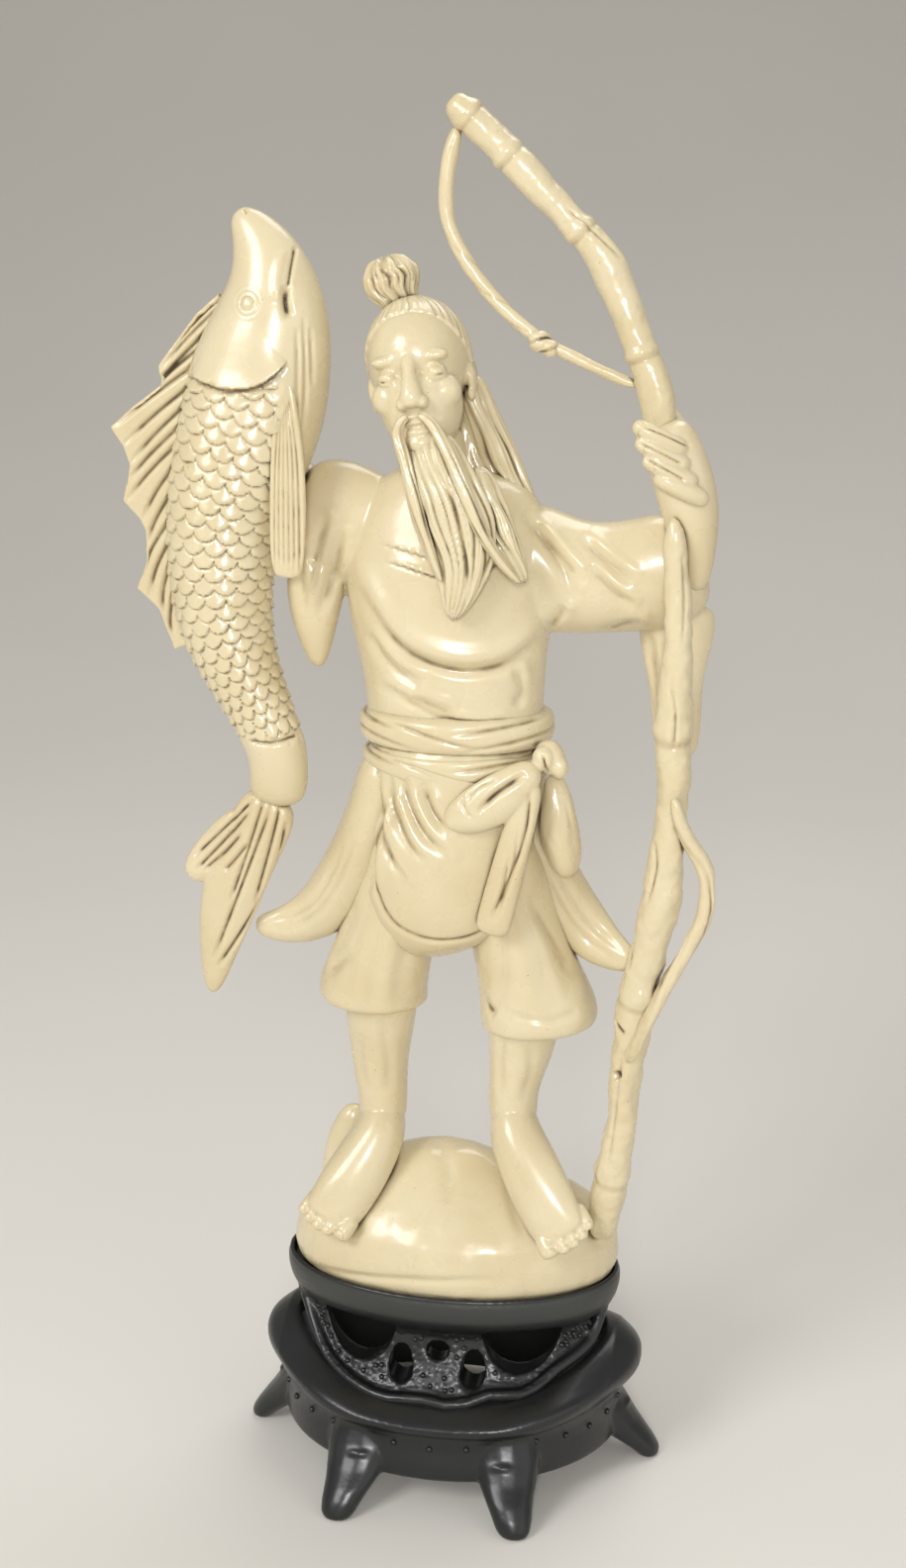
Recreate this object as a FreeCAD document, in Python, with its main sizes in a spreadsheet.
import FreeCAD, Part
import math
import os

import Sketcher

# A carved fisherman with a large fish, a staff and a rod, who stands on a rock
# mound set loose in the tray of a pierced oval stand.
#
# Frame: millimetres, +Z up, the front of the figure faces -Y, +X is the side of
# the staff. The origin is on the table, under the middle of the box round the
# whole, which lies a little towards the fish from the middle of the oval stand.
#
# The figure is carved in flats, as a pointed-up block is: each of its pieces is
# a closed run of rings along a bent line, and gives way to the pieces it is
# seated on, so that the two meet face to face.

V = FreeCAD.Vector
document = FreeCAD.newDocument("okimono")

# Driving dimensions: name, millimetres (angles, counts and shares say so)
SIZES = [
    # stand
    ("foot_clearance", 6.0),
    ("apron_height", 11.0),
    ("belt_height", 7.0),
    ("gallery_height", 15.0),
    ("rim_height", 7.0),
    ("tray_depth", 3.0),
    ("tray_floor", 3.0),
    ("tray_clearance", 0.3),
    ("rim_lip", 1.2),
    ("gallery_inset", 2.6),
    ("stand_wall", 3.0),
    ("belt_overhang_side", 4.2),
    ("belt_overhang_front", 9.6),
    ("belt_lobe_depth", 1.8),
    ("apron_flare", 1.5),
    ("apron_lobe_depth", 1.0),
    ("foot_overhang_side", 3.4),
    ("foot_overhang_front", 10.0),
    ("foot_root_diameter", 15.0),
    ("moon_width", 16.5),
    ("moon_height", 9.6),
    ("moon_spacing", 35.6),
    ("drop_diameter", 5.2),
    ("drop_height", 7.4),
    ("drop_spacing", 15.8),
    ("eye_diameter", 3.8),
    # rock mound
    ("mound_width", 74.6),
    ("mound_depth", 41.2),
    ("mound_height", 30.0),
    ("rock_width", 9.0),
    ("rock_depth", 10.0),
    ("rock_height", 25.5),
    # heights of the figure, from the mound up
    ("ankle_height", 6.0),
    ("shin_length", 27.0),
    ("thigh_length", 44.0),
    ("hip_height", 16.0),
    ("torso_length", 46.0),
    ("neck_length", 11.0),
    ("head_height", 30.5),
    # legs and feet
    ("leg_spacing", 29.0),
    ("foot_width", 14.8),
    ("foot_depth", 13.0),
    ("toe_width", 4.6),
    ("shin_width", 16.4),
    ("right_trouser_width", 22.2),
    ("left_trouser_width", 24.0),
    ("trouser_depth", 22.6),
    # robe
    ("torso_width", 43.0),
    ("torso_depth", 28.0),
    ("apron_width", 37.0),
    ("apron_depth", 26.0),
    ("robe_width", 46.0),
    ("robe_depth", 18.0),
    ("robe_tail_width", 10.6),
    ("robe_tail_depth", 6.0),
    ("sash_roll_height", 8.4),
    ("sash_thickness", 2.3),
    ("knot_width", 7.0),
    ("knot_height", 8.0),
    ("loop_width", 10.4),
    ("loop_depth", 4.8),
    ("ribbon_width", 7.8),
    ("ribbon_depth", 3.6),
    ("pouch_width", 8.8),
    ("pouch_depth", 8.0),
    ("sleeve_depth", 17.0),
    ("right_sleeve_width", 25.0),
    ("left_sleeve_width", 26.0),
    ("cuff_width", 16.8),
    ("cuff_depth", 10.0),
    ("right_cuff_width", 14.0),
    # head
    ("neck_width", 13.0),
    ("head_width", 21.6),
    ("head_depth", 24.4),
    ("nose_width", 4.4),
    ("ear_height", 7.0),
    ("topknot_width", 12.8),
    ("topknot_height", 10.1),
    ("hair_lock_width", 7.2),
    ("beard_width", 18.4),
    ("beard_depth", 8.4),
    ("beard_length", 39.9),
    ("side_lock_width", 7.0),
    # arms and hands
    ("right_reach", 36.0),
    ("left_reach", 49.0),
    ("right_hand_width", 13.0),
    ("left_hand_width", 13.6),
    ("finger_width", 3.3),
    # staff, vine, rod and line
    ("staff_diameter", 9.0),
    ("vine_diameter", 3.8),
    ("rod_lean", 42.5),
    ("rod_rise", 65.8),
    ("rod_diameter", 8.0),
    ("line_diameter", 3.3),
    ("line_knot_diameter", 5.4),
    # fish
    ("fish_length", 120.5),
    ("fish_width", 29.2),
    ("fish_depth", 21.0),
    ("tail_length", 49.5),
    ("tail_width", 13.6),
    ("tail_lobe_length", 22.3),
    ("fin_thickness", 3.0),
    ("pectoral_width", 11.2),
]

# How wide the foot of the mound is in the tray, of its full width
MOUND_FOOT_SHARE = 0.96

sheet = document.addObject("Spreadsheet::Sheet", "sizes")
for row, (alias, value) in enumerate(SIZES, start=1):
    sheet.set(f"A{row}", alias)
    sheet.set(f"B{row}", str(value))
    sheet.setAlias(f"B{row}", alias)
document.recompute()


def size(alias):
    """The value of one driving dimension."""
    return float(sheet.get(alias))


# Stand, written as expressions on the driving dimensions

BELT_LEVEL = "(sizes.foot_clearance + sizes.apron_height)"
GALLERY_LEVEL = f"({BELT_LEVEL} + sizes.belt_height)"
RIM_LEVEL = f"({GALLERY_LEVEL} + sizes.gallery_height)"
STAND_HEIGHT = f"({RIM_LEVEL} + sizes.rim_height)"
TRAY_WIDTH = f"(sizes.mound_width * {MOUND_FOOT_SHARE} + 2 * sizes.tray_clearance)"
TRAY_DEPTH = f"(sizes.mound_depth * {MOUND_FOOT_SHARE} + 2 * sizes.tray_clearance)"
RIM_WIDTH = f"({TRAY_WIDTH} + 2 * sizes.rim_lip)"
RIM_DEPTH = f"({TRAY_DEPTH} + 2 * sizes.rim_lip)"
GALLERY_WIDTH = f"({RIM_WIDTH} - 2 * sizes.gallery_inset)"
GALLERY_DEPTH = f"({RIM_DEPTH} - 2 * sizes.gallery_inset)"
BELT_WIDTH = f"({RIM_WIDTH} + 2 * sizes.belt_overhang_side)"
BELT_DEPTH = f"({RIM_DEPTH} + 2 * sizes.belt_overhang_front)"
FOOT_SPREAD_WIDTH = f"({BELT_WIDTH} + 2 * sizes.foot_overhang_side)"
FOOT_SPREAD_DEPTH = f"({BELT_DEPTH} + 2 * sizes.foot_overhang_front)"

# Where the feet stand, in degrees round the oval from the staff's side
FOOT_ANGLES = [0, 64, 116, 180, 244, 296]
# Straight flats of each outline between two feet, and flats round one foot
FLATS_BETWEEN_FEET = 6
FOOT_FLATS = 8
# Flats round the curve of one opening
OPENING_FLATS = 8
# Sections of a foot from its root in the belt to its tip on the table: share of
# the height under the belt, share of the spread, share of the root's diameter
FOOT_SECTION_SHARES = [
    (1.12, 0.76, 1.00),
    (0.76, 0.82, 0.90),
    (0.42, 0.89, 0.62),
    (0.12, 0.96, 0.38),
    (0.00, 0.98, 0.30),
]

stand = document.addObject("PartDesign::Body", "stand")
stand.Label = "stand"


def number(expression):
    """The value of an expression on the driving dimensions."""
    return float(FreeCAD.Units.Quantity(sheet.evalExpression(expression.replace("sizes.", ""))).Value)


def origin_plane(body, role):
    """The body's own origin plane with this role."""
    return next(plane for plane in body.Origin.OriginFeatures if plane.Role == role)


def new_sketch(body, name, plane, level=None):
    """A sketch on one of the body's origin planes, raised to a level."""
    sketch = body.newObject("Sketcher::SketchObject", name)
    sketch.AttachmentSupport = [(origin_plane(body, plane), "")]
    sketch.MapMode = "FlatFace"
    if level is not None:
        sketch.setExpression("AttachmentOffset.Base.z", level)
    return sketch


def oval_sketch(body, name, level, width, depth, lobe="0"):
    """An oval of flats about the Z axis, drawn in by the lobe depth midway between the feet."""
    sketch = new_sketch(body, name, "XY_Plane", level)
    half_wide = number(width) / 2
    half_deep = number(depth) / 2
    corners = []
    for start, end in zip(FOOT_ANGLES, FOOT_ANGLES[1:] + [FOOT_ANGLES[0] + 360]):
        for step in range(FLATS_BETWEEN_FEET):
            share = step / FLATS_BETWEEN_FEET
            turn = math.radians(start + share * (end - start))
            inset = number(lobe) * math.sin(math.pi * share)
            corners.append(V((half_wide - inset) * math.cos(turn), (half_deep - inset) * math.sin(turn), 0))
    draw_loop(sketch, corners)
    return sketch


def draw_loop(sketch, corners):
    """Straight lines round the corners, joined end to end."""
    for first, second in zip(corners, corners[1:] + corners[:1]):
        sketch.addGeometry(Part.LineSegment(first, second), False)
    count = len(corners)
    first_line = sketch.GeometryCount - count
    for index in range(count):
        sketch.addConstraint(Sketcher.Constraint("Coincident", first_line + index, 2,
                                                 first_line + (index + 1) % count, 1))


def round_foot_sketch(body, name, level, across, along, girth):
    """A regular polygon whose circle is bound to the foot's girth."""
    sketch = new_sketch(body, name, "XY_Plane", level)
    sketch.setExpression("AttachmentOffset.Base.x", across)
    sketch.setExpression("AttachmentOffset.Base.y", along)
    radius = number(girth) / 2
    turns = [2 * math.pi * corner / FOOT_FLATS for corner in range(FOOT_FLATS)]
    draw_loop(sketch, [V(radius * math.cos(turn), radius * math.sin(turn), 0) for turn in turns])
    circle = sketch.addGeometry(Part.Circle(V(0, 0, 0), V(0, 0, 1), radius), True)
    sketch.addConstraint(Sketcher.Constraint("Coincident", circle, 3, -1, 1))
    for corner in range(FOOT_FLATS):
        sketch.addConstraint(Sketcher.Constraint("PointOnObject", corner, 1, circle))
    for corner in range(1, FOOT_FLATS):
        sketch.addConstraint(Sketcher.Constraint("Equal", 0, corner))
    sketch.addConstraint(Sketcher.Constraint("PointOnObject", 0, 1, -1))
    index = sketch.addConstraint(Sketcher.Constraint("Radius", circle, radius))
    sketch.renameConstraint(index, "girth")
    sketch.setExpression("Constraints.girth", f"({girth}) / 2")
    return sketch


def pad(body, name, sketch, height):
    """A pad that rises from its sketch."""
    feature = body.newObject("PartDesign::Pad", name)
    feature.Profile = sketch
    feature.setExpression("Length", height)
    return feature


def pocket(body, name, sketch, depth, upward):
    """A pocket cut up or down from its sketch, which has to remove something."""
    before = body.Shape.Volume
    feature = body.newObject("PartDesign::Pocket", name)
    feature.Profile = sketch
    feature.Reversed = upward
    feature.setExpression("Length", depth)
    document.recompute()
    if not body.Shape.Volume < before:
        raise RuntimeError(f"{name} removes nothing")
    return feature


def through_pocket(body, name, sketch):
    """A pocket through the whole stand, both ways from its sketch."""
    before = body.Shape.Volume
    feature = body.newObject("PartDesign::Pocket", name)
    feature.Profile = sketch
    feature.Type = "ThroughAll"
    feature.Midplane = True
    document.recompute()
    if not body.Shape.Volume < before:
        raise RuntimeError(f"{name} removes nothing")
    return feature


def moon(sketch, middle, top, width, height):
    """A half moon that hangs from its two horns, its back a little hollow."""
    dip_share = 0.22
    corners = []
    for step in range(OPENING_FLATS + 1):
        turn = math.pi * step / OPENING_FLATS
        corners.append(V(middle - width / 2 * math.cos(turn), top - height * math.sin(turn), 0))
    for step in range(OPENING_FLATS - 1, 0, -1):
        turn = math.pi * step / OPENING_FLATS
        corners.append(V(middle - width / 2 * math.cos(turn), top - dip_share * height * math.sin(turn), 0))
    draw_loop(sketch, corners)


def drop(sketch, middle, bottom, diameter, height):
    """A round hole drawn out to a point at the top."""
    radius = diameter / 2
    corners = [V(middle, bottom + height, 0)]
    for step in range(OPENING_FLATS + 1):
        turn = math.pi * step / OPENING_FLATS
        corners.append(V(middle - radius * math.cos(turn), bottom + radius - radius * math.sin(turn), 0))
    draw_loop(sketch, corners)


def eye(sketch, middle, level, diameter):
    """A small round hole."""
    turns = [2 * math.pi * (step + 0.5) / OPENING_FLATS for step in range(OPENING_FLATS)]
    draw_loop(sketch, [V(middle + diameter / 2 * math.cos(turn), level + diameter / 2 * math.sin(turn), 0)
                       for turn in turns])


def build_stand():
    """Rim and tray, pierced gallery, lobed belt, apron and six splayed feet."""
    pad(stand, "gallery", oval_sketch(stand, "gallery_outline", GALLERY_LEVEL, GALLERY_WIDTH, GALLERY_DEPTH),
        "sizes.gallery_height")
    pad(stand, "rim", oval_sketch(stand, "rim_outline", RIM_LEVEL, RIM_WIDTH, RIM_DEPTH), "sizes.rim_height")
    pad(stand, "belt", oval_sketch(stand, "belt_outline", BELT_LEVEL, BELT_WIDTH, BELT_DEPTH,
                                   "sizes.belt_lobe_depth"), "sizes.belt_height")
    pad(stand, "apron", oval_sketch(stand, "apron_outline", "sizes.foot_clearance",
                                    f"{BELT_WIDTH} + 2 * sizes.apron_flare",
                                    f"{BELT_DEPTH} + 2 * sizes.apron_flare",
                                    "sizes.apron_lobe_depth"), "sizes.apron_height")
    for foot, angle in enumerate(FOOT_ANGLES):
        sections = []
        for section, (rise, reach, girth) in enumerate(FOOT_SECTION_SHARES):
            sections.append(round_foot_sketch(stand, f"foot_{foot}_section_{section}", f"{rise} * {BELT_LEVEL}",
                                              f"{reach} * {FOOT_SPREAD_WIDTH} / 2 * cos({angle} deg)",
                                              f"{reach} * {FOOT_SPREAD_DEPTH} / 2 * sin({angle} deg)",
                                              f"{girth} * sizes.foot_root_diameter"))
        document.recompute()
        leg = stand.newObject("PartDesign::AdditiveLoft", f"foot_{foot}")
        leg.Profile = sections[0]
        leg.Sections = sections[1:]
        leg.Ruled = True
    document.recompute()

    hollow_width = f"{GALLERY_WIDTH} - 2 * sizes.stand_wall"
    hollow_depth = f"{GALLERY_DEPTH} - 2 * sizes.stand_wall"
    pocket(stand, "hollow", oval_sketch(stand, "hollow_outline", "0", hollow_width, hollow_depth),
           f"{STAND_HEIGHT} - sizes.tray_depth - sizes.tray_floor", True)
    pocket(stand, "tray", oval_sketch(stand, "tray_outline", STAND_HEIGHT, TRAY_WIDTH, TRAY_DEPTH),
           "sizes.tray_depth", False)

    gallery_top = number(RIM_LEVEL) - size("stand_wall") / 2
    front = new_sketch(stand, "front_piercing", "XZ_Plane")
    for side in (-1, 1):
        moon(front, side * size("moon_spacing") / 2, gallery_top, size("moon_width"), size("moon_height"))
        drop(front, side * size("drop_spacing") / 2, number(GALLERY_LEVEL) + size("stand_wall") / 2,
             size("drop_diameter"), size("drop_height"))
    eye(front, 0, gallery_top - size("drop_diameter"), size("eye_diameter"))
    document.recompute()
    through_pocket(stand, "front_openings", front)

    side_piercing = new_sketch(stand, "side_piercing", "YZ_Plane")
    moon(side_piercing, 0, gallery_top, size("moon_width"), size("moon_height"))
    document.recompute()
    through_pocket(stand, "side_openings", side_piercing)


build_stand()

# Levels of the figure, from the tray up

stand_height = number(STAND_HEIGHT)
base_level = stand_height - size("tray_depth")
mound_level = base_level + size("mound_height")
ankle_level = mound_level + size("ankle_height")
knee_level = ankle_level + size("shin_length")
hip_level = knee_level + size("thigh_length")
waist_level = hip_level + size("hip_height")
shoulder_level = waist_level + size("torso_length")
chin_level = shoulder_level + size("neck_length")

# Zones: the level a point is counted from, and the height its share is of
ZONES = {
    "mound": (base_level, size("mound_height")),
    "ankle": (mound_level, size("ankle_height")),
    "shin": (ankle_level, size("shin_length")),
    "thigh": (knee_level, size("thigh_length")),
    "hips": (hip_level, size("hip_height")),
    "chest": (waist_level, size("torso_length")),
    "neck": (shoulder_level, size("neck_length")),
    "head": (chin_level, size("head_height")),
}


def point(width_name, width_share, depth_share, zone, zone_share):
    """A place on the figure: a share of a width, of the torso's depth, and of a zone's height."""
    bottom, height = ZONES[zone]
    return V(width_share * size(width_name), depth_share * size("torso_depth"), bottom + zone_share * height)


class Carving:
    """A closed run of rings along a bent line, as a blank before it is seated."""

    def __init__(self, name, start, end, wide, deep, shares, sides=12, level_rings=False):
        self.name = name
        line = end - start
        length = line.Length
        along = line * (1 / length)
        sideways = V(0, 1, 0).cross(along)
        sideways.normalize()
        backwards = along.cross(sideways)
        centres = []
        for rise, aside, back, _, _ in shares:
            centres.append(along * (rise * length) + sideways * (aside * length) + backwards * (back * length))
        self.centres = [start + centre for centre in centres]
        rings = []
        last = len(centres) - 1
        for index, (_, _, _, wide_share, deep_share) in enumerate(shares):
            heading = centres[min(index + 1, last)] - centres[max(index - 1, 0)]
            if level_rings:
                heading = V(0, 0, line.z)
            heading.normalize()
            across = V(0, 1, 0).cross(heading)
            across.normalize()
            through = heading.cross(across)
            ring = []
            for corner in range(sides):
                turn = 2 * math.pi * (corner + 0.5) / sides
                ring.append(centres[index] + across * (wide_share * wide / 2 * math.cos(turn))
                            + through * (deep_share * deep / 2 * math.sin(turn)))
            rings.append(ring)
        self.feature = document.addObject("Part::Feature", f"{name}_blank")
        self.feature.Shape = flats(rings)
        self.feature.Placement = FreeCAD.Placement(start, FreeCAD.Rotation())


def flats(rings):
    """A solid of flat faces that joins the rings and closes both ends."""
    faces = [Part.Face(Part.makePolygon(rings[0] + rings[0][:1])),
             Part.Face(Part.makePolygon(rings[-1] + rings[-1][:1]))]
    for lower, upper in zip(rings, rings[1:]):
        for corner in range(len(lower)):
            following = (corner + 1) % len(lower)
            corners = (lower[corner], lower[following], upper[following], upper[corner])
            for triangle in ((0, 1, 2), (0, 2, 3)):
                points = [corners[index] for index in triangle]
                faces.append(Part.Face(Part.makePolygon(points + points[:1])))
    solid = Part.makeSolid(Part.makeShell(faces))
    if solid.Volume < 0:
        solid.reverse()
    return solid


def joined(name, blanks):
    """Several blanks carved in one piece."""
    feature = document.addObject("Part::MultiFuse", f"{name}_joined")
    feature.Shapes = blanks
    feature.Refine = False
    return feature


NODES = {"stand": stand}


def seated(name, blank, carriers=()):
    """The finished piece: its blank, cut to the faces of the pieces that it is seated on."""
    piece = blank
    for carrier in carriers:
        cut = document.addObject("Part::Cut", f"{name}_on_{carrier}")
        cut.Base = piece
        cut.Tool = NODES[carrier]
        cut.Refine = False
        piece = cut
    piece.Label = name
    NODES[name] = piece
    return piece


# Rock mound
# Rows of shares: along the line, to its right, to its back, width, depth

mound = Carving("mound", point("mound_width", 0, 0, "mound", 0), point("mound_width", 0, 0, "mound", 1),
                size("mound_width"), size("mound_depth"), [
                    (0.00, 0.00, 0.00, MOUND_FOOT_SHARE, MOUND_FOOT_SHARE),
                    (0.10, 0.00, 0.00, MOUND_FOOT_SHARE, MOUND_FOOT_SHARE),
                    (0.18, 0.01, 0.00, 1.00, 1.00),
                    (0.38, 0.03, 0.00, 0.97, 0.97),
                    (0.50, 0.03, 0.00, 0.92, 0.87),
                    (0.62, 0.02, 0.00, 0.82, 0.72),
                    (0.77, -0.03, 0.02, 0.59, 0.52),
                    (0.90, -0.09, 0.03, 0.30, 0.32),
                    (1.00, 0.00, 0.00, 0.13, 0.15),
                ], sides=24, level_rings=True)
seated("mound", mound.feature)

rock_foot = point("mound_width", -0.37, 0.25, "mound", 0.23)
back_rock = Carving("back_rock", rock_foot, rock_foot + V(size("rock_width") / 3, size("rock_depth") / 5,
                                                           size("rock_height")),
                    size("rock_width"), size("rock_depth"), [
                        (0.00, 0.00, 0.00, 1.00, 1.00),
                        (0.31, -0.02, 0.00, 0.80, 0.90),
                        (0.59, -0.02, 0.00, 0.71, 0.80),
                        (0.78, 0.00, 0.00, 0.60, 0.64),
                        (1.00, 0.00, 0.00, 0.27, 0.30),
                    ], sides=7)
seated("back_rock", back_rock.feature, ["mound"])

# Torso, neck and head

torso = Carving("torso", point("torso_width", 0.01, 0, "chest", -0.07), point("torso_width", -0.06, 0.02, "neck", 0.86),
                size("torso_width"), size("torso_depth"), [
                    (0.00, 0.00, 0.00, 0.85, 0.86),
                    (0.15, 0.01, 0.00, 0.86, 0.89),
                    (0.27, 0.01, 0.00, 0.87, 0.94),
                    (0.43, 0.01, 0.00, 0.94, 1.00),
                    (0.55, 0.01, 0.00, 1.00, 1.00),
                    (0.71, 0.02, 0.00, 1.00, 0.89),
                    (0.84, 0.00, 0.00, 0.91, 0.75),
                    (0.94, 0.00, 0.00, 0.63, 0.57),
                    (1.00, 0.00, 0.00, 0.37, 0.46),
                ], sides=18, level_rings=True)
seated("torso", torso.feature)

chin = point("torso_width", -0.08, -0.18, "neck", 0.91)
crown = point("torso_width", -0.19, -0.04, "head", 1)
skull = Carving("skull", chin, crown, size("head_width"), size("head_depth"), [
    (0.00, 0.00, 0.00, 0.32, 0.30),
    (0.10, 0.00, 0.00, 0.62, 0.62),
    (0.25, 0.00, 0.00, 0.84, 0.84),
    (0.45, 0.00, 0.00, 0.97, 0.96),
    (0.65, 0.00, 0.00, 1.00, 1.00),
    (0.82, 0.00, 0.00, 0.87, 0.87),
    (0.94, 0.00, 0.00, 0.56, 0.56),
    (1.00, 0.00, 0.00, 0.26, 0.25),
], sides=14)
brow = skull.centres[4] - V(0, size("head_depth") * 0.44, 0)
nose_tip = skull.centres[2] - V(0, size("head_depth") * 0.48, 0)
nose = Carving("nose", brow, nose_tip, size("nose_width"), size("nose_width"), [
    (0.00, 0.00, 0.00, 0.45, 0.60),
    (0.55, 0.00, 0.06, 0.62, 0.90),
    (0.86, 0.00, 0.12, 1.00, 1.00),
    (1.00, 0.00, 0.00, 0.60, 0.60),
], sides=6)
ears = []
for side in (-1, 1):
    lobe = skull.centres[2] + V(side * size("head_width") * 0.46, 0, 0)
    ears.append(Carving(f"ear_{side}", lobe, lobe + V(0, 0, size("ear_height")), size("nose_width"),
                        size("nose_width"), [
                            (0.00, 0.00, 0.00, 0.50, 0.50),
                            (0.40, 0.00, 0.00, 0.80, 0.90),
                            (0.80, 0.00, 0.00, 1.00, 1.20),
                            (1.00, 0.00, 0.00, 0.55, 0.70),
                        ], sides=6).feature)
seated("head", joined("head", [skull.feature, nose.feature] + ears))

neck = Carving("neck", point("torso_width", -0.06, 0, "neck", 0.36), point("torso_width", -0.10, -0.07, "head", 0.16),
               size("neck_width"), size("neck_width"), [
                   (0.00, 0.00, 0.00, 1.00, 0.96),
                   (0.50, 0.00, 0.00, 0.92, 0.92),
                   (1.00, 0.00, 0.00, 0.92, 0.92),
               ], sides=10)
seated("neck", neck.feature, ["torso", "head"])

knot_foot = crown + V(-size("topknot_width") * 0.15, size("topknot_width") * 0.16, -size("topknot_height") * 0.30)
topknot = Carving("topknot", knot_foot, knot_foot + V(-size("topknot_height") * 0.38, size("topknot_height") * 0.10,
                                                       size("topknot_height") * 0.92),
                  size("topknot_width"), size("topknot_width"), [
                      (0.00, 0.00, 0.00, 0.56, 0.56),
                      (0.24, -0.02, 0.00, 0.61, 0.61),
                      (0.50, -0.03, 0.00, 1.00, 0.94),
                      (0.77, -0.02, 0.00, 0.94, 0.88),
                      (1.00, 0.00, 0.00, 0.59, 0.56),
                  ], sides=12)
seated("topknot", topknot.feature, ["head"])

beard_root = point("torso_width", -0.05, -0.47, "head", 0.26)
beard = Carving("beard", beard_root, beard_root + V(size("beard_length") * 0.11, -size("beard_length") * 0.09,
                                                     -size("beard_length") * 0.99),
                size("beard_width"), size("beard_depth"), [
                    (0.00, 0.00, 0.00, 0.71, 0.83),
                    (0.13, -0.03, 0.03, 0.88, 1.00),
                    (0.31, -0.05, 0.02, 0.95, 1.00),
                    (0.52, -0.09, 0.01, 1.00, 0.86),
                    (0.70, -0.10, 0.01, 0.83, 0.71),
                    (0.84, -0.06, 0.01, 0.46, 0.52),
                    (1.00, 0.00, 0.00, 0.12, 0.26),
                ], sides=12)
seated("beard", beard.feature, ["head", "neck", "torso"])

side_lock = Carving("side_lock", point("torso_width", 0.14, -0.41, "neck", 0.91),
                    point("torso_width", 0.40, -0.46, "chest", 0.72), size("side_lock_width"),
                    size("side_lock_width"), [
                        (0.00, 0.00, 0.00, 0.86, 0.74),
                        (0.40, 0.02, 0.00, 1.00, 0.74),
                        (0.75, 0.02, 0.00, 0.77, 0.63),
                        (1.00, 0.00, 0.00, 0.29, 0.28),
                    ], sides=8)
seated("side_lock", side_lock.feature, ["head", "neck", "torso", "beard"])

hair_lock = Carving("hair_lock", point("torso_width", 0.07, 0.14, "head", 0.43),
                    point("torso_width", 0.38, 0, "chest", 0.87), size("hair_lock_width"),
                    size("hair_lock_width"), [
                        (0.00, 0.00, 0.00, 0.78, 1.10),
                        (0.25, 0.02, 0.03, 0.94, 1.10),
                        (0.54, 0.04, 0.04, 1.00, 0.97),
                        (0.79, 0.02, 0.02, 0.83, 0.83),
                        (1.00, 0.00, 0.00, 0.39, 0.44),
                    ], sides=8)
seated("hair_lock", hair_lock.feature, ["head", "neck", "torso", "beard", "side_lock"])

# Robe below the waist

apron = Carving("apron", point("torso_width", 0.02, -0.04, "hips", 0.95),
                point("torso_width", 0.03, -0.37, "thigh", 0.33),
                size("apron_width"), size("apron_depth"), [
                    (0.00, 0.00, 0.00, 0.98, 1.00),
                    (0.22, 0.00, 0.03, 0.95, 1.00),
                    (0.44, 0.01, 0.06, 0.98, 1.00),
                    (0.68, 0.03, 0.06, 0.90, 0.81),
                    (0.86, 0.02, 0.03, 0.80, 0.56),
                    (0.96, 0.00, 0.01, 0.56, 0.36),
                    (1.00, 0.00, 0.00, 0.30, 0.22),
                ], sides=16, level_rings=True)
seated("apron", apron.feature, ["torso"])

trouser_rows = {
    "right": [
        (0.00, 0.00, 0.00, 0.81, 0.97),
        (0.28, -0.03, 0.00, 0.86, 0.97),
        (0.51, -0.02, 0.00, 0.90, 0.97),
        (0.70, -0.01, 0.00, 0.92, 0.97),
        (0.88, 0.01, 0.00, 1.00, 1.00),
        (0.96, 0.01, 0.00, 0.95, 0.96),
        (1.00, 0.00, 0.00, 0.84, 0.85),
    ],
    "left": [
        (0.00, 0.00, 0.00, 0.75, 0.96),
        (0.27, 0.01, 0.00, 0.79, 0.96),
        (0.53, 0.01, 0.00, 0.83, 0.96),
        (0.75, 0.00, 0.00, 0.88, 0.96),
        (0.87, -0.01, 0.00, 1.00, 1.00),
        (0.96, 0.00, 0.00, 0.97, 0.96),
        (1.00, 0.00, 0.00, 0.83, 0.83),
    ],
}
# Where the trouser legs start and end, as shares of the leg spacing and the thigh
TROUSER_END_SHARES = {"right": (-0.31, -0.58, 0.03), "left": (0.31, 0.64, -0.05)}
for side, carriers in (("right", ["apron", "torso"]), ("left", ["apron", "torso", "right_trouser"])):
    top_share, hem_share, hem_rise = TROUSER_END_SHARES[side]
    leg = Carving(f"{side}_trouser", point("leg_spacing", top_share, 0, "thigh", 1.04),
                  point("leg_spacing", hem_share, -0.07, "thigh", hem_rise),
                  size(f"{side}_trouser_width"), size("trouser_depth"), trouser_rows[side], sides=14,
                  level_rings=True)
    seated(f"{side}_trouser", leg.feature, carriers)

robe_back = Carving("robe_back", point("torso_width", 0, 0.18, "hips", 1), point("torso_width", -0.04, 0.32, "thigh", 0.30),
                    size("robe_width"), size("robe_depth"), [
                        (0.00, 0.00, 0.00, 0.81, 1.00),
                        (0.34, 0.01, 0.00, 0.86, 0.94),
                        (0.66, 0.01, 0.00, 0.94, 0.78),
                        (0.89, 0.00, 0.00, 1.00, 0.61),
                        (1.00, 0.00, 0.00, 0.96, 0.44),
                    ], sides=14, level_rings=True)
seated("robe_back", robe_back.feature, ["torso", "apron", "right_trouser", "left_trouser"])

# Legs and feet

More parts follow.
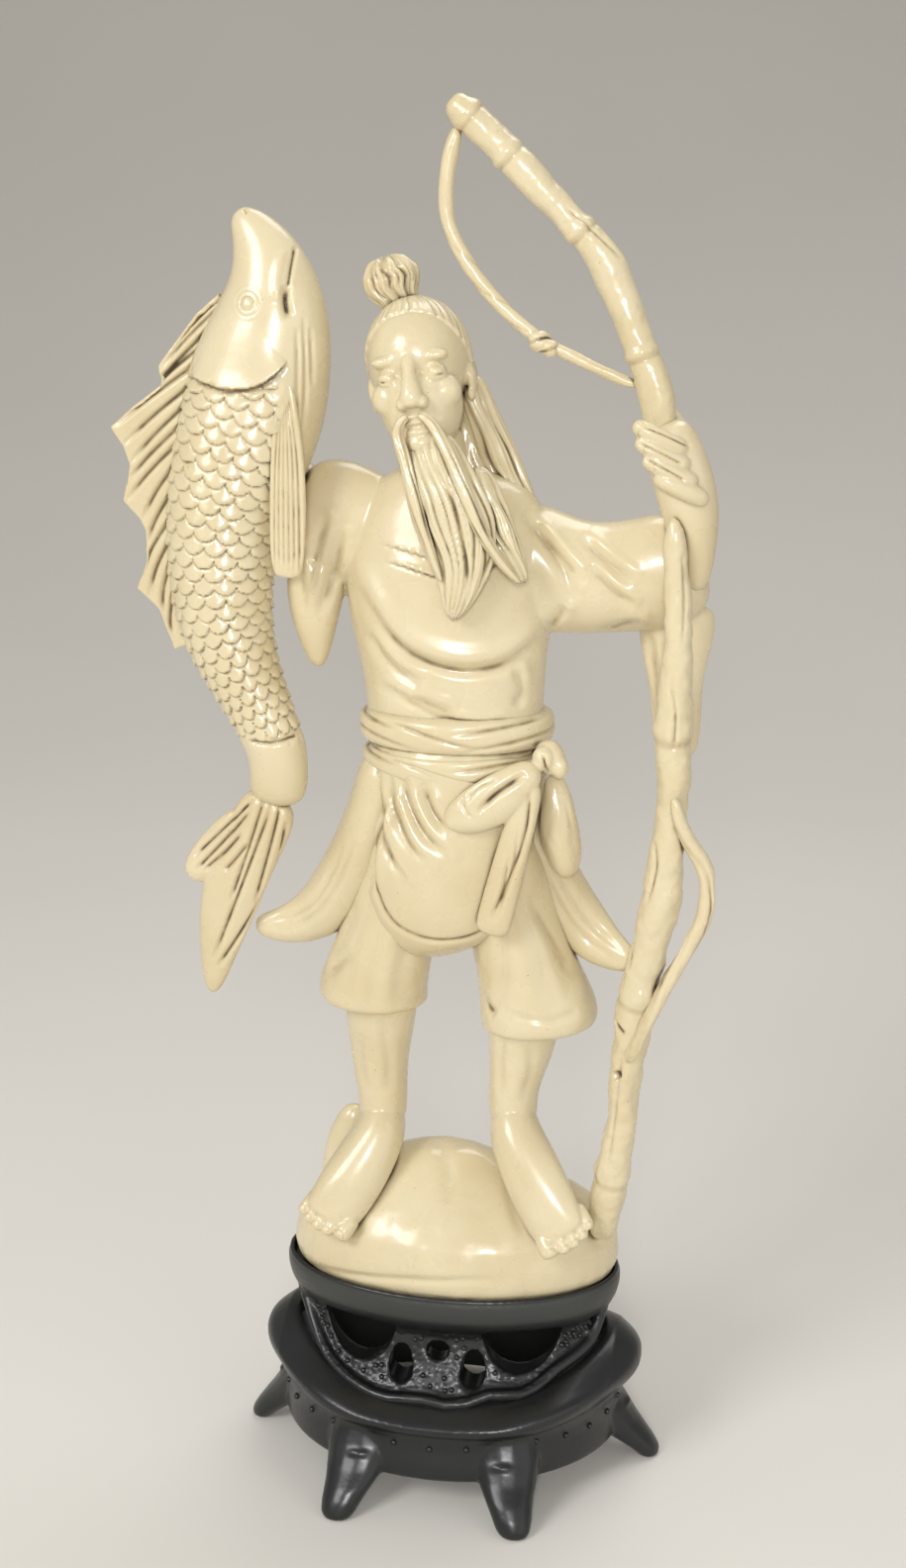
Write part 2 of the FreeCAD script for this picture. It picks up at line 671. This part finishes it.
shin_rows = {
    "right": [
        (0.00, 0.00, 0.00, 0.67, 0.68),
        (0.13, -0.01, 0.00, 0.66, 0.68),
        (0.35, -0.03, 0.03, 0.73, 0.80),
        (0.59, -0.03, 0.04, 0.83, 0.89),
        (0.83, -0.01, 0.01, 0.98, 0.98),
        (1.00, 0.00, 0.00, 1.00, 1.00),
    ],
    "left": [
        (0.00, 0.00, 0.00, 0.68, 0.68),
        (0.14, -0.01, 0.00, 0.65, 0.68),
        (0.31, 0.00, 0.03, 0.70, 0.80),
        (0.56, 0.02, 0.04, 0.89, 0.90),
        (0.80, 0.01, 0.01, 0.98, 0.98),
        (1.00, 0.00, 0.00, 1.00, 1.00),
    ],
}
foot_rows = {
    "right": [
        (0.00, 0.00, 0.00, 0.76, 0.86),
        (0.21, -0.07, 0.01, 0.85, 1.00),
        (0.51, -0.06, 0.00, 0.98, 0.95),
        (0.80, -0.03, -0.01, 1.00, 0.71),
        (1.00, 0.00, 0.00, 0.79, 0.46),
    ],
    "left": [
        (0.00, 0.00, 0.00, 0.76, 0.86),
        (0.22, 0.06, 0.02, 0.84, 1.00),
        (0.52, 0.04, 0.01, 1.00, 0.95),
        (0.80, 0.01, -0.01, 0.97, 0.71),
        (1.00, 0.00, 0.00, 0.78, 0.46),
    ],
}
# Ankle, knee and ball of the foot: shares of the leg spacing, depth and zone
LEG_POINT_SHARES = {
    "right": {"ankle": (-0.51, -0.04, "shin", 0.02), "knee": (-0.53, -0.07, "thigh", 0.06),
              "ball": (-0.85, -0.58, "mound", 0.57)},
    "left": {"ankle": (0.45, -0.04, "shin", 0.08), "knee": (0.54, -0.07, "thigh", 0.06),
             "ball": (0.86, -0.58, "mound", 0.66)},
}
# Toes from the big one out: sideways and forward from the ball, length, girth,
# all as shares of the foot's width
TOE_SHARES = [
    (-0.36, -0.20, 0.62, 1.15),
    (-0.10, -0.24, 0.56, 0.92),
    (0.12, -0.18, 0.50, 0.86),
    (0.31, -0.08, 0.44, 0.80),
    (0.46, 0.08, 0.38, 0.76),
]
for side, outward in (("right", -1), ("left", 1)):
    places = {name: point("leg_spacing", *shares) for name, shares in LEG_POINT_SHARES[side].items()}
    shin = Carving(f"{side}_shin", places["ankle"], places["knee"], size("shin_width"), size("shin_width"),
                   shin_rows[side], sides=12, level_rings=True)
    seated(f"{side}_shin", shin.feature, [f"{side}_trouser"])
    sole = Carving(f"{side}_foot", places["ankle"] + V(0, 0, size("ankle_height") / 3), places["ball"],
                   size("foot_width"), size("foot_depth"), foot_rows[side], sides=12)
    toes = []
    for aside, forward, reach, girth in TOE_SHARES:
        width = size("foot_width")
        root = sole.centres[3] + V(outward * aside * width, forward * width, -0.05 * width)
        rise = -0.30 if aside < 0 else -0.30 + 0.45 * aside
        tip = root + V(outward * 0.16 * width, -0.55 * reach * width, (rise - 0.10) * width)
        toes.append(Carving(f"{side}_toe_{len(toes)}", root, tip, girth * size("toe_width"),
                            girth * size("toe_width"), [
                                (0.00, 0.00, 0.00, 0.85, 0.85),
                                (0.55, 0.00, 0.00, 1.00, 0.95),
                                (0.88, 0.00, 0.00, 0.85, 0.75),
                                (1.00, 0.00, 0.00, 0.40, 0.35),
                            ], sides=6).feature)
    seated(f"{side}_foot", joined(f"{side}_foot", [sole.feature] + toes), ["mound", f"{side}_shin"])

# Sash

waist_wide = max(size("torso_width") * 0.89, size("apron_width"))
waist_deep = size("torso_depth") * 0.91
for name, bottom_share, carriers in (("sash_upper", 0.80, ["torso", "apron", "robe_back"]),
                                     ("sash_lower", 0.32, ["torso", "apron", "robe_back", "sash_upper"])):
    bottom = point("torso_width", 0.03, 0, "hips", bottom_share)
    roll = Carving(name, bottom, bottom + V(0, 0, size("sash_roll_height")),
                   waist_wide + 2 * size("sash_thickness"), waist_deep + 2 * size("sash_thickness"), [
                       (0.00, 0.00, 0.00, 0.91, 0.90),
                       (0.22, 0.00, 0.00, 0.98, 0.98),
                       (0.70, 0.00, 0.00, 1.00, 1.00),
                       (1.00, 0.00, 0.00, 0.92, 0.91),
                   ], sides=18, level_rings=True)
    seated(name, roll.feature, carriers)

bow = point("torso_width", 0.50, -0.32, "hips", 0.84)
knot_reach = size("knot_height") / 2
sash_knot = Carving("sash_knot", bow + V(-knot_reach / 3, 0, knot_reach), bow + V(knot_reach / 6, 0, -knot_reach),
                    size("knot_width"), size("knot_width"), [
                        (0.00, 0.00, 0.00, 0.57, 0.57),
                        (0.49, -0.08, 0.06, 1.00, 0.92),
                        (1.00, 0.00, 0.00, 0.63, 0.63),
                    ], sides=8)
seated("sash_knot", sash_knot.feature, ["torso", "apron", "sash_upper", "sash_lower"])

sash_loop = Carving("sash_loop", bow + V(-knot_reach / 2, -knot_reach / 2, 0), point("torso_width", 0.02, -0.54, "hips", 0.03),
                    size("loop_width"), size("loop_depth"), [
                        (0.00, 0.00, 0.00, 0.50, 0.92),
                        (0.34, -0.05, 0.03, 0.96, 1.00),
                        (0.64, -0.05, 0.03, 1.00, 1.00),
                        (0.88, -0.02, 0.02, 0.69, 0.83),
                        (1.00, 0.00, 0.00, 0.23, 0.50),
                    ], sides=8)
seated("sash_loop", sash_loop.feature, ["apron", "torso", "sash_upper", "sash_lower", "sash_knot"])

sash_ends = Carving("sash_ends", bow + V(-knot_reach, -knot_reach, -knot_reach), point("torso_width", 0.24, -0.54, "thigh", 0.47),
                    size("ribbon_width"), size("ribbon_depth"), [
                        (0.00, 0.00, 0.00, 0.62, 1.00),
                        (0.24, 0.00, 0.02, 0.77, 1.00),
                        (0.54, 0.00, 0.02, 0.87, 1.00),
                        (0.93, 0.00, 0.01, 1.00, 0.89),
                        (1.00, 0.00, 0.00, 0.82, 0.67),
                    ], sides=8)
seated("sash_ends", sash_ends.feature, ["apron", "torso", "sash_upper", "sash_lower", "sash_knot", "sash_loop",
                                        "left_trouser"])

pouch = Carving("pouch", bow + V(0, size("knot_width") / 3, -knot_reach), point("torso_width", 0.59, -0.25, "thigh", 0.70),
                size("pouch_width"), size("pouch_depth"), [
                    (0.00, 0.00, 0.00, 0.41, 0.45),
                    (0.25, -0.01, 0.01, 0.73, 0.75),
                    (0.54, 0.02, 0.02, 1.00, 1.00),
                    (0.80, 0.00, 0.01, 0.86, 0.88),
                    (1.00, 0.00, 0.00, 0.36, 0.38),
                ], sides=10)
seated("pouch", pouch.feature, ["apron", "torso", "sash_upper", "sash_lower", "sash_knot", "left_trouser",
                                "robe_back"])

# Fish, held head up by the right hand

grip = point("right_reach", -1.20, -0.18, "chest", 1.00)
fish_length = size("fish_length")
tail_stem = grip + V(0.055 * fish_length, 0, -0.525 * fish_length)
fish_mouth = grip + V(0.024 * fish_length, 0, 0.474 * fish_length)
fish = Carving("fish_body", tail_stem, fish_mouth, size("fish_width"), size("fish_depth"), [
    (0.00, 0.00, 0.00, 0.42, 0.40),
    (0.06, 0.01, 0.00, 0.42, 0.48),
    (0.12, 0.00, 0.00, 0.45, 0.53),
    (0.18, -0.02, 0.00, 0.49, 0.62),
    (0.24, -0.05, 0.00, 0.56, 0.72),
    (0.31, -0.07, 0.00, 0.68, 0.84),
    (0.39, -0.08, 0.00, 0.75, 0.91),
    (0.48, -0.07, 0.00, 0.81, 0.95),
    (0.57, -0.04, 0.00, 0.90, 0.98),
    (0.67, 0.00, 0.00, 1.00, 1.00),
    (0.75, 0.02, 0.00, 0.96, 0.97),
    (0.84, 0.04, 0.00, 0.78, 0.82),
    (0.91, 0.04, 0.00, 0.58, 0.59),
    (0.96, 0.02, 0.00, 0.32, 0.36),
    (1.00, 0.00, 0.00, 0.11, 0.15),
], sides=14)
seated("fish_body", fish.feature)

tail_length = size("tail_length")
tail_root = tail_stem + V(0, 0, 0.06 * tail_length)
tail_fin = Carving("tail_fin", tail_root, tail_root + V(-0.311 * tail_length, 0, -0.95 * tail_length),
                   size("tail_width"), size("fin_thickness"), [
                       (0.00, 0.00, 0.00, 0.88, 2.60),
                       (0.18, 0.02, 0.00, 0.97, 2.20),
                       (0.36, 0.05, 0.00, 1.00, 1.90),
                       (0.55, 0.05, 0.00, 0.93, 1.60),
                       (0.77, 0.04, 0.00, 0.62, 1.30),
                       (1.00, 0.00, 0.00, 0.22, 0.70),
                   ], sides=8)
seated("tail_fin", tail_fin.feature, ["fish_body"])

lobe_length = size("tail_lobe_length")
lobe_root = tail_fin.centres[1] + V(0, 0, 0.10 * lobe_length)
tail_lobe = Carving("tail_lobe", lobe_root, lobe_root + V(-0.70 * lobe_length, 0, -0.62 * lobe_length),
                    size("tail_width"), size("fin_thickness"), [
                        (0.00, 0.00, 0.00, 0.74, 1.70),
                        (0.49, 0.01, 0.00, 0.74, 1.50),
                        (1.00, 0.00, 0.00, 0.47, 0.90),
                    ], sides=8)
seated("tail_lobe", tail_lobe.feature, ["fish_body", "tail_fin"])

# Outline of the dorsal fin from its lower end, round its five points, and back
# inside the body: shares of the fish's length, sideways and up from the grip
DORSAL_OUTLINE_SHARES = [
    (-0.113, -0.251), (-0.145, -0.180), (-0.188, -0.147), (-0.164, -0.102), (-0.163, -0.046),
    (-0.205, 0.002), (-0.186, 0.061), (-0.222, 0.126), (-0.130, 0.197), (-0.133, 0.228),
    (-0.019, 0.348), (0.050, 0.320), (-0.020, 0.180), (-0.060, 0.050), (-0.090, -0.060), (-0.060, -0.180),
]
dorsal = document.addObject("PartDesign::Body", "dorsal_fin_plate")
dorsal_sketch = new_sketch(dorsal, "dorsal_outline", "XZ_Plane")
corners = [V(grip.x + right * fish_length, grip.z + up * fish_length, 0) for right, up in DORSAL_OUTLINE_SHARES]
draw_loop(dorsal_sketch, corners)
dorsal_pad = pad(dorsal, "dorsal_pad", dorsal_sketch, "sizes.fin_thickness")
dorsal_pad.Midplane = True
dorsal.Placement = FreeCAD.Placement(V(0, grip.y, 0), FreeCAD.Rotation())
document.recompute()
seated("dorsal_fin", dorsal, ["fish_body"])

pectoral_root = fish.centres[10] + V(0.26 * size("fish_width"), -0.37 * size("fish_depth"), 0)
pectoral_fin = Carving("pectoral_fin", pectoral_root, pectoral_root + V(-0.02 * fish_length, 0, -0.37 * fish_length),
                       size("pectoral_width"), size("fin_thickness"), [
                           (0.00, 0.00, 0.00, 0.30, 0.95),
                           (0.31, -0.05, 0.04, 1.00, 1.35),
                           (0.61, -0.05, 0.03, 0.89, 1.35),
                           (0.84, -0.02, 0.01, 0.55, 1.00),
                           (1.00, 0.00, 0.00, 0.20, 0.70),
                       ], sides=8)
seated("pectoral_fin", pectoral_fin.feature, ["fish_body"])

# Right arm: sleeve, its hanging end and the hand behind the fish

right_sleeve = Carving("right_sleeve", point("torso_width", -0.19, 0.04, "chest", 0.80), grip + V(0.25 * size("right_reach"), size("torso_depth") * 0.22, 0.08 * size("right_reach")),
                       size("right_sleeve_width"), size("sleeve_depth"), [
                           (0.00, 0.00, 0.00, 0.88, 0.94),
                           (0.34, -0.03, 0.00, 0.96, 0.94),
                           (0.68, -0.02, 0.00, 1.00, 0.84),
                           (1.00, 0.00, 0.00, 0.68, 0.66),
                       ], sides=12)
seated("right_sleeve", right_sleeve.feature, ["torso", "fish_body", "pectoral_fin", "beard"])

right_cuff = Carving("right_sleeve_end", point("right_reach", -0.75, 0, "chest", 0.81), point("right_reach", -0.77, -0.07, "chest", 0.26),
                     size("right_cuff_width"), size("cuff_depth"), [
                         (0.00, 0.00, 0.00, 1.00, 1.00),
                         (0.38, 0.06, 0.00, 0.90, 0.90),
                         (0.74, 0.03, 0.00, 0.54, 0.60),
                         (1.00, 0.00, 0.00, 0.17, 0.22),
                     ], sides=10)
seated("right_sleeve_end", right_cuff.feature, ["torso", "fish_body", "pectoral_fin", "right_sleeve"])

right_hand = Carving("right_hand", point("right_reach", -0.78, 0.14, "chest", 0.98), grip + V(0, size("torso_depth") * 0.52, size("right_hand_width") * 0.70),
                     size("right_hand_width"), size("right_hand_width"), [
                         (0.00, 0.00, 0.00, 0.92, 0.77),
                         (0.55, -0.01, 0.08, 1.00, 0.54),
                         (1.00, 0.00, 0.00, 0.65, 0.34),
                     ], sides=10)
seated("right_hand", right_hand.feature, ["fish_body", "right_sleeve", "right_sleeve_end"])

# Staff from the mound to the left hand, with its vine

hand_hold = point("left_reach", 0.908, -0.36, "neck", 0.18)
staff_foot = point("mound_width", 0.449, -0.25, "mound", 0.37)
staff = Carving("staff", staff_foot, hand_hold, size("staff_diameter"), size("staff_diameter"), [
    (0.00, 0.00, 0.00, 0.87, 0.87),
    (0.12, 0.01, 0.00, 0.89, 0.89),
    (0.18, 0.01, 0.00, 0.69, 0.69),
    (0.26, 0.01, 0.00, 0.78, 0.78),
    (0.35, 0.01, 0.00, 0.93, 0.93),
    (0.45, 0.03, 0.00, 0.80, 0.80),
    (0.52, 0.04, 0.00, 1.00, 1.00),
    (0.60, 0.03, 0.00, 0.60, 0.60),
    (0.67, 0.04, 0.00, 0.76, 0.76),
    (0.71, 0.03, 0.00, 0.87, 0.87),
    (0.78, 0.02, 0.00, 0.76, 0.76),
    (0.82, 0.02, 0.00, 0.62, 0.62),
    (0.90, 0.02, 0.00, 0.56, 0.56),
    (1.00, 0.00, 0.00, 0.49, 0.49),
], sides=9)
seated("staff", staff.feature, ["mound", "left_foot"])

vine_out = V(0, -0.30 * size("staff_diameter"), 0)
vine = Carving("staff_vine", staff.centres[8] + vine_out, staff.centres[3] + vine_out, size("vine_diameter"),
               size("vine_diameter"), [
                   (0.00, 0.00, 0.00, 0.84, 0.84),
                   (0.14, -0.03, 0.01, 0.89, 0.89),
                   (0.22, -0.11, 0.01, 1.00, 1.00),
                   (0.32, -0.15, 0.01, 1.00, 1.00),
                   (0.45, -0.15, 0.01, 0.95, 0.95),
                   (0.62, -0.09, 0.01, 0.95, 0.95),
                   (0.79, -0.04, 0.01, 0.95, 0.95),
                   (1.00, 0.00, 0.00, 0.79, 0.79),
               ], sides=7)
seated("staff_vine", vine.feature, ["staff"])

# Robe tails, blown out from the hips to the fish's tail and to the staff

right_tail = Carving("right_robe_tail", point("torso_width", -0.40, 0.11, "thigh", 1.00), tail_fin.centres[3] + V(0.32 * size("tail_width"), 0.25 * size("robe_tail_depth"), -0.42 * size("tail_width")),
                     size("robe_tail_width"), size("robe_tail_depth"), [
                         (0.00, 0.00, 0.00, 0.76, 1.00),
                         (0.23, -0.06, 0.00, 0.66, 1.00),
                         (0.57, -0.21, 0.00, 0.90, 1.00),
                         (0.83, -0.20, 0.00, 0.92, 0.83),
                         (0.94, -0.10, 0.00, 0.66, 0.73),
                         (1.00, 0.00, 0.00, 0.33, 0.53),
                     ], sides=8)
seated("right_robe_tail", right_tail.feature, ["torso", "apron", "right_trouser", "robe_back", "sash_lower",
                                               "tail_fin", "fish_body"])

left_tail = Carving("left_robe_tail", point("torso_width", 0.40, 0.11, "thigh", 0.91), staff.centres[5] + V(-0.26 * size("staff_diameter"), 0.24 * size("staff_diameter"), -0.60 * size("staff_diameter")),
                    size("robe_tail_width"), size("robe_tail_depth"), [
                        (0.00, 0.00, 0.00, 0.76, 1.00),
                        (0.20, 0.08, 0.03, 0.66, 1.00),
                        (0.49, 0.16, 0.07, 0.87, 1.00),
                        (0.71, 0.18, 0.10, 1.10, 1.00),
                        (0.86, 0.11, 0.06, 0.76, 0.83),
                        (1.00, 0.00, 0.00, 0.34, 0.67),
                    ], sides=8)
seated("left_robe_tail", left_tail.feature, ["torso", "apron", "left_trouser", "robe_back", "sash_lower",
                                             "pouch", "staff", "staff_vine"])

# Left arm: sleeve, its hanging end, and the hand round the staff and the rod

left_sleeve = Carving("left_sleeve", point("torso_width", 0.19, 0.04, "chest", 0.80), point("left_reach", 1.04, 0.04, "chest", 0.80),
                      size("left_sleeve_width"), size("sleeve_depth"), [
                          (0.00, 0.00, 0.00, 0.92, 1.00),
                          (0.23, 0.08, 0.00, 1.00, 1.00),
                          (0.44, 0.15, 0.00, 0.83, 0.94),
                          (0.67, 0.12, 0.00, 0.84, 0.94),
                          (0.86, 0.08, 0.00, 0.92, 0.89),
                          (1.00, 0.00, 0.00, 0.62, 0.67),
                      ], sides=12)
seated("left_sleeve", left_sleeve.feature, ["torso", "staff", "beard", "side_lock", "hair_lock"])

left_cuff = Carving("left_sleeve_end", point("left_reach", 0.92, 0.11, "chest", 0.61), point("left_reach", 0.933, 0.16, "chest", -0.12),
                    size("cuff_width"), size("cuff_depth"), [
                        (0.00, 0.00, 0.00, 1.00, 1.00),
                        (0.21, 0.00, 0.01, 0.94, 0.92),
                        (0.48, 0.01, 0.01, 0.67, 0.80),
                        (0.72, 0.00, 0.00, 0.61, 0.72),
                        (0.93, 0.00, 0.00, 0.55, 0.60),
                        (1.00, 0.00, 0.00, 0.36, 0.40),
                    ], sides=10)
seated("left_sleeve_end", left_cuff.feature, ["left_sleeve", "staff"])

rod_foot = hand_hold + V(-0.28 * size("staff_diameter"), 0.56 * size("staff_diameter"), size("left_hand_width") * 0.74)
rod = Carving("rod", rod_foot, rod_foot + V(-size("rod_lean"), 0.05 * size("rod_lean"), size("rod_rise")),
              size("rod_diameter"), size("rod_diameter"), [
                  (0.00, 0.00, 0.00, 0.63, 0.70),
                  (0.12, 0.06, 0.00, 1.00, 0.90),
                  (0.21, 0.08, 0.01, 0.76, 0.76),
                  (0.33, 0.10, 0.01, 0.76, 0.76),
                  (0.47, 0.12, 0.01, 0.96, 0.92),
                  (0.55, 0.11, 0.01, 0.72, 0.72),
                  (0.63, 0.09, 0.01, 0.70, 0.70),
                  (0.79, 0.06, 0.01, 0.86, 0.85),
                  (0.86, 0.04, 0.00, 0.76, 0.76),
                  (0.97, 0.01, 0.00, 0.95, 0.90),
                  (1.00, 0.00, 0.00, 0.60, 0.60),
              ], sides=9)
seated("rod", rod.feature)

palm = Carving("palm", point("left_reach", 1.006, -0.14, "chest", 0.65), point("left_reach", 0.845, -0.29, "head", 0.245),
               size("left_hand_width"), size("left_hand_width"), [
                   (0.00, 0.00, 0.00, 0.29, 0.37),
                   (0.22, 0.04, 0.01, 0.59, 0.52),
                   (0.47, 0.07, 0.03, 0.91, 0.74),
                   (0.71, 0.04, 0.02, 1.00, 0.81),
                   (0.89, 0.02, 0.02, 0.88, 0.74),
                   (1.00, 0.00, 0.00, 0.65, 0.50),
               ], sides=10)
# Fingers folded over the staff's top, from the first to the last: shares of the
# hand's width, sideways and up from the hand's middle
FINGER_SHARES = [(-0.66, 0.66), (-0.62, 0.44), (-0.50, 0.20), (-0.34, -0.06)]
knuckles = palm.centres[3]
fingers = []
for aside, up in FINGER_SHARES:
    hand_width = size("left_hand_width")
    tip = knuckles + V(aside * hand_width, -0.44 * hand_width, up * hand_width)
    root = tip + V(0.78 * hand_width, 0.14 * hand_width, -0.40 * hand_width)
    fingers.append(Carving(f"finger_{len(fingers)}", root, tip, size("finger_width"), size("finger_width"), [
        (0.00, 0.00, 0.00, 0.90, 0.90),
        (0.35, 0.00, -0.16, 1.00, 1.00),
        (0.80, 0.00, -0.10, 0.90, 0.90),
        (1.00, 0.00, 0.00, 0.45, 0.45),
    ], sides=6).feature)
seated("left_hand", joined("left_hand", [palm.feature] + fingers), ["left_sleeve", "staff", "rod"])

# Line from the rod's tip back to the rod, with its knot

line_away = V(0, 0, -0.40 * size("rod_diameter"))
line = Carving("line", rod.centres[9] + line_away, rod.centres[2] + V(-0.10 * size("rod_diameter"), 0, 0) + line_away,
               size("line_diameter"), size("line_diameter"), [
                   (0.00, 0.00, 0.00, 0.90, 0.90),
                   (0.08, 0.10, 0.00, 1.00, 1.00),
                   (0.19, 0.19, 0.00, 0.90, 0.90),
                   (0.29, 0.23, 0.00, 0.90, 0.90),
                   (0.43, 0.23, 0.00, 0.90, 0.90),
                   (0.56, 0.24, 0.00, 0.84, 0.84),
                   (0.71, 0.21, 0.00, 0.80, 0.80),
                   (0.80, 0.15, 0.00, 0.74, 0.74),
                   (0.89, 0.09, 0.00, 0.74, 0.74),
                   (1.00, 0.00, 0.00, 0.74, 0.74),
               ], sides=7)
seated("line", line.feature, ["rod"])

knot_half = V(size("line_knot_diameter") * 0.46, 0, -size("line_knot_diameter") * 0.30)
line_knot = Carving("line_knot", line.centres[6] - knot_half, line.centres[6] + knot_half,
                    size("line_knot_diameter"), size("line_knot_diameter"), [
                        (0.00, 0.00, 0.00, 0.66, 0.66),
                        (0.30, 0.00, 0.00, 1.00, 1.00),
                        (0.70, 0.00, 0.00, 1.00, 1.00),
                        (1.00, 0.00, 0.00, 0.66, 0.66),
                    ], sides=8)
seated("line_knot", line_knot.feature, ["line"])

# Checks on every object, then one file for each piece

document.recompute()
for item in document.Objects:
    if "Invalid" in item.State or "Error" in item.State:
        raise RuntimeError(f"{item.Name} did not build: {item.State}")
for name, piece in NODES.items():
    shape = piece.Shape
    if shape.isNull() or not shape.isValid() or shape.Volume <= 0:
        raise RuntimeError(f"{name} has no valid solid")

# The fish reaches further out than the staff, so the pieces are written from the middle of the whole
outline = FreeCAD.BoundBox()
for piece in NODES.values():
    outline.add(piece.Shape.BoundBox)
to_middle = V(-outline.Center.x, -outline.Center.y, 0)

os.makedirs("parts", exist_ok=True)
for name, piece in NODES.items():
    piece.Shape.translated(to_middle).exportStep(f"parts/{name}.step")
    print(name, len(piece.Shape.Solids), len(piece.Shape.Faces), round(piece.Shape.Volume, 1))
